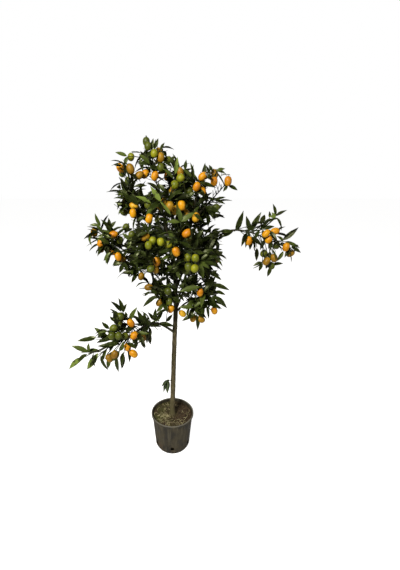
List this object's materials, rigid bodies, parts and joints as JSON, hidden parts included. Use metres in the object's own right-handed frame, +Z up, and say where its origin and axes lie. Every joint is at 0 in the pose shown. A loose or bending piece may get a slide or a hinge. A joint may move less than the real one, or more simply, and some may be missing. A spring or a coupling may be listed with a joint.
{
  "type": "potted kumquat tree",
  "caption": "Young kumquat tree with a slim bare trunk, an open fruiting crown and two long side arms, in a round dark nursery pot.",
  "frame": {"origin": "middle of the flat underside of the pot, where the plant stands on the ground", "axes": "+Z up; +X towards the side of the long fruiting arm in the crown; +Y away from the side on which the low arm reaches out"},
  "size_m": [0.996, 0.67, 1.6873],
  "materials": {
    "pot_plastic": "matt, dusty",
    "soil": "rough",
    "trunk_bark": "rough bark",
    "bough_bark": "smooth young bark",
    "foliage": "glossy leaves"
  },
  "bodies": {
    "root": {"bough_back_left_high": "bough_bark", "bough_back_left_low": "bough_bark", "bough_back_middle": "bough_bark", "bough_back_right_high": "bough_bark", "bough_back_right_low": "bough_bark", "bough_back_top": "bough_bark", "bough_centre": "bough_bark", "bough_centre_high": "bough_bark", "bough_centre_left": "bough_bark", "bough_far_right": "bough_bark", "bough_heart": "bough_bark", "bough_left_arm": "bough_bark", "bough_low_left": "bough_bark", "bough_lower_left": "bough_bark", "bough_lower_mid": "bough_bark", "bough_lower_right": "bough_bark", "bough_right_mid": "bough_bark", "bough_right_reach": "bough_bark", "bough_upper_left": "bough_bark", "bough_upper_right": "bough_bark", "foliage_back_left_high": "foliage", "foliage_back_left_low": "foliage", "foliage_back_middle": "foliage", "foliage_back_right_high": "foliage", "foliage_back_right_low": "foliage", "foliage_back_top": "foliage", "foliage_centre": "foliage", "foliage_centre_high": "foliage", "foliage_centre_left": "foliage", "foliage_far_right": "foliage", "foliage_heart": "foliage", "foliage_left_arm": "foliage", "foliage_low_left": "foliage", "foliage_lower_left": "foliage", "foliage_lower_mid": "foliage", "foliage_lower_right": "foliage", "foliage_right_mid": "foliage", "foliage_right_reach": "foliage", "foliage_sprout": "foliage", "foliage_top": "foliage", "foliage_upper_left": "foliage", "foliage_upper_right": "foliage", "pot": "pot_plastic", "soil": "soil", "trunk": "trunk_bark"}
  },
  "joints": []
}
